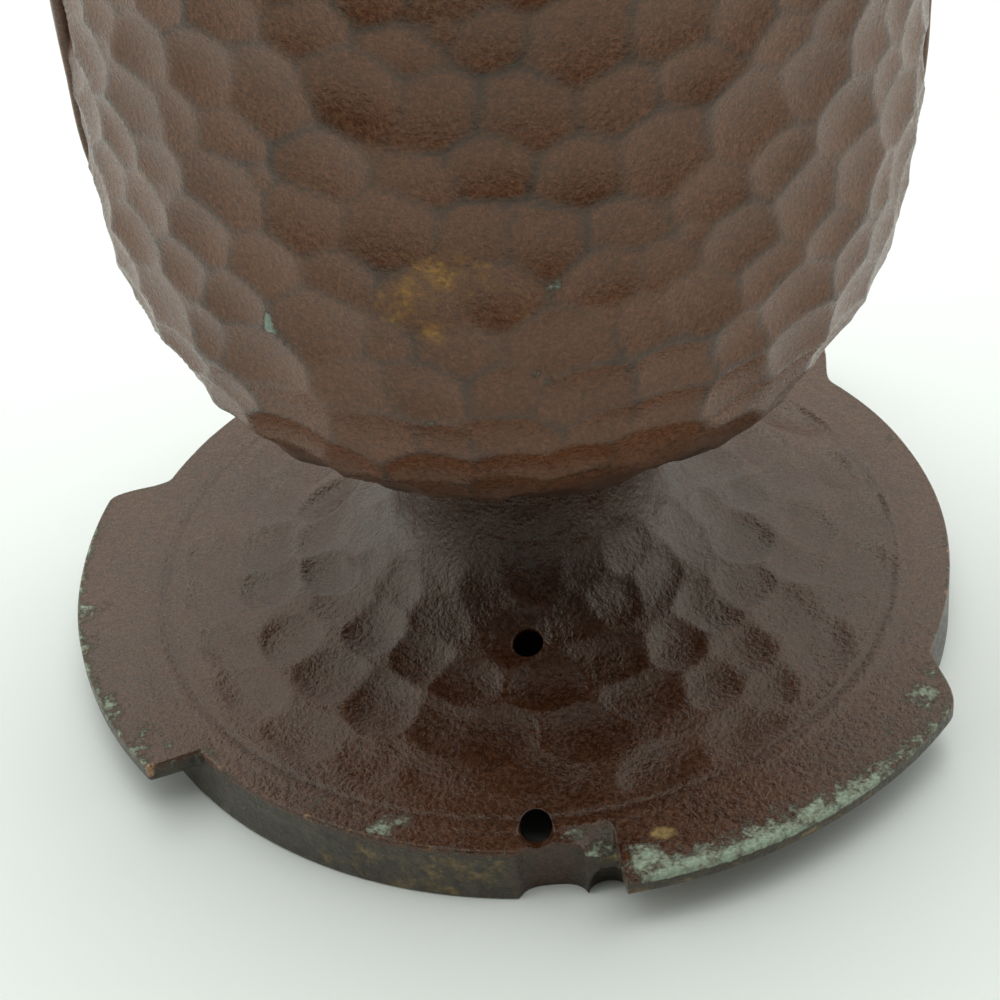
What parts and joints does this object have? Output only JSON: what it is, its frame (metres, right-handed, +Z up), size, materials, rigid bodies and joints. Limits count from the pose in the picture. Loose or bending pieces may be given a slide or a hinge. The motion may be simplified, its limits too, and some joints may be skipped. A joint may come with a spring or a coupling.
{
  "type": "flower frog",
  "caption": "Hammered bronze flower frog: a tall hooded cup on a flared cast foot whose lobes lock into a bowl, with a lift-out pin holder for the stems.",
  "frame": {"origin": "on the foot's axis, in the plane that the foot's skirt stands on", "axes": "+Z up along the foot's axis, +Y out of the cup's open mouth, +X to the left of someone who looks into the mouth"},
  "size_m": [0.1017, 0.107, 0.128],
  "materials": {
    "foot_bronze": "cast bronze with dark red-brown patina, hammered cone and green edges",
    "cup_bronze": "hand-hammered bronze with mid-brown patina",
    "binding_bronze": "smooth bronze strip, brown patina",
    "bolt_brass": "dull yellow brass",
    "seal_rubber": "black rubber",
    "base_lead": "dull grey cast metal",
    "pin_brass": "drawn yellow brass with sharp points"
  },
  "bodies": {
    "vessel": {"foot": "foot_bronze", "cup": "cup_bronze", "mouth_binding": "binding_bronze", "centre_bolt": "bolt_brass", "sealing_washer": "seal_rubber", "backing_washer": "bolt_brass", "foot_nut": "bolt_brass"},
    "pin_holder": {"pin_base": "base_lead", "pin_01": "pin_brass", "pin_02": "pin_brass", "pin_03": "pin_brass", "pin_04": "pin_brass", "pin_05": "pin_brass", "pin_06": "pin_brass", "pin_07": "pin_brass", "pin_08": "pin_brass", "pin_09": "pin_brass", "pin_10": "pin_brass", "pin_11": "pin_brass", "pin_12": "pin_brass", "pin_13": "pin_brass", "pin_14": "pin_brass", "pin_15": "pin_brass", "pin_16": "pin_brass", "pin_17": "pin_brass", "pin_18": "pin_brass", "pin_19": "pin_brass", "pin_20": "pin_brass", "pin_21": "pin_brass", "pin_22": "pin_brass", "pin_23": "pin_brass", "pin_24": "pin_brass", "pin_25": "pin_brass", "pin_26": "pin_brass", "pin_27": "pin_brass", "pin_28": "pin_brass", "pin_29": "pin_brass", "pin_30": "pin_brass", "pin_31": "pin_brass", "pin_32": "pin_brass", "pin_33": "pin_brass", "pin_34": "pin_brass", "pin_35": "pin_brass", "pin_36": "pin_brass", "pin_37": "pin_brass"}
  },
  "joints": [
    {"name": "pin_holder_lift", "type": "slide", "parent": "vessel", "child": "pin_holder", "axis": [0, 0, 1], "range_m": [0, 0.09]}
  ]
}
